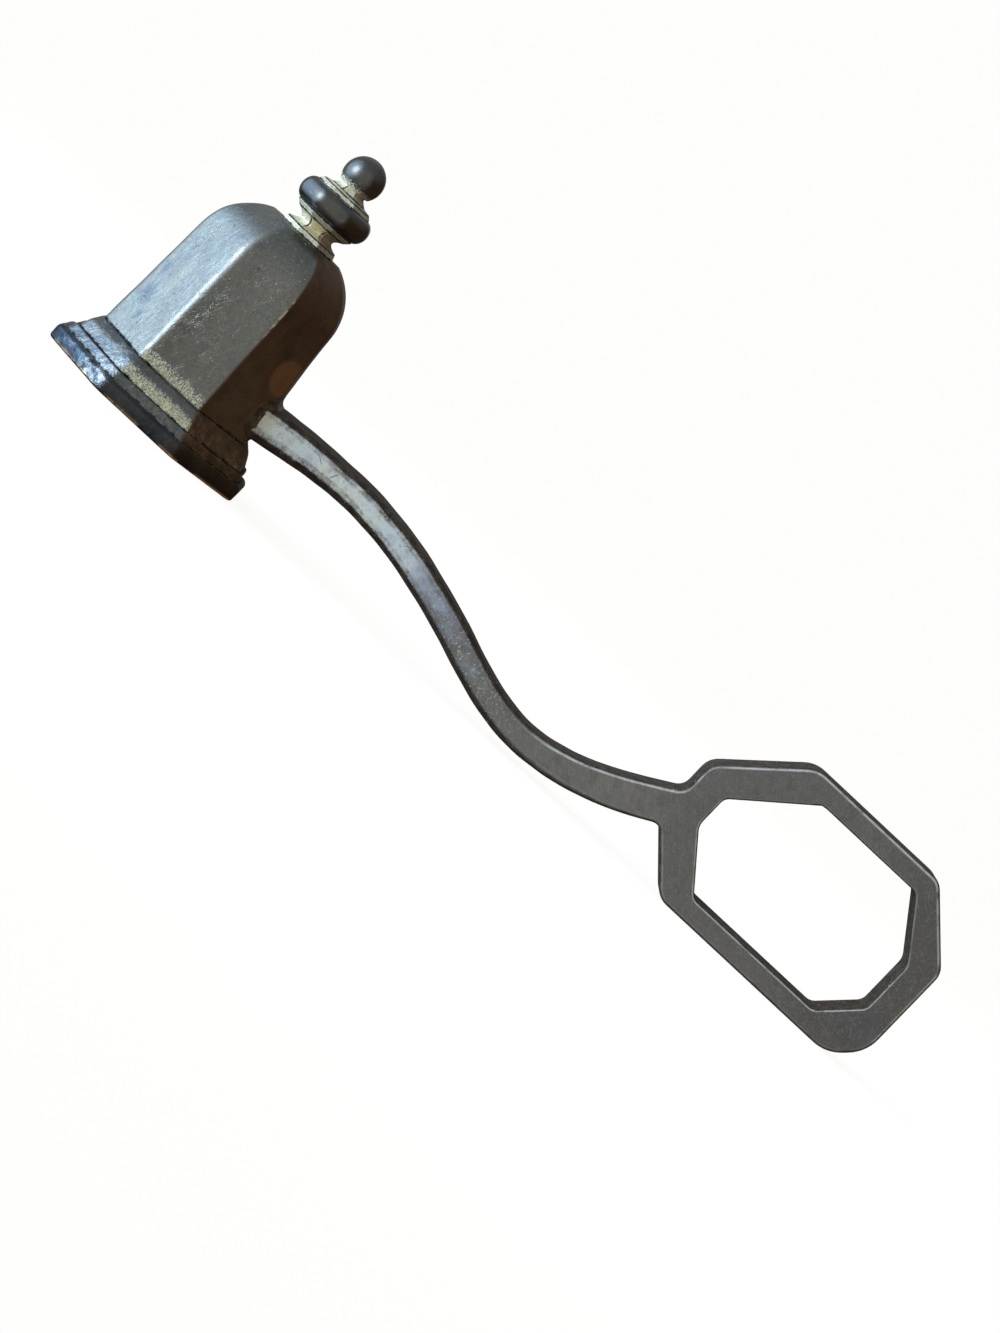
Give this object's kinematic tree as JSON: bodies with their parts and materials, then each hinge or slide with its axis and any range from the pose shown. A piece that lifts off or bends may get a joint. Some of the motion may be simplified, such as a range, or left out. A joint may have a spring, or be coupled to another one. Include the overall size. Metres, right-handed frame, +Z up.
{
  "type": "candle snuffer",
  "caption": "Octagonal cast brass bell with a moulded rim, a knobbed finial and a curved arm that ends in a long octagonal finger ring, for putting out candles.",
  "frame": {"origin": "centre of the bell's open mouth, on the plane the lip stands on", "axes": "+Z up the bell's axis through the finial, +X along the arm towards the finger ring, +Y square to the arm and ring"},
  "size_m": [0.1497, 0.0334, 0.0474],
  "materials": {
    "bell_brass": "cast brass with a dark brown-grey tarnish, satin",
    "finial_brass": "dark tarnish on the ball and bead, pale residue in the recesses",
    "screw_brass": "dull turned brass",
    "washer_brass": "dull flat brass",
    "handle_brass": "filed front and back faces, dark cast edges, satin",
    "braze_metal": "dull braze metal under tarnish"
  },
  "bodies": {
    "root": {"bell": "bell_brass", "finial": "finial_brass", "finial_screw": "screw_brass", "finial_washer": "washer_brass", "handle": "handle_brass", "braze_fillets": "braze_metal"}
  },
  "joints": []
}
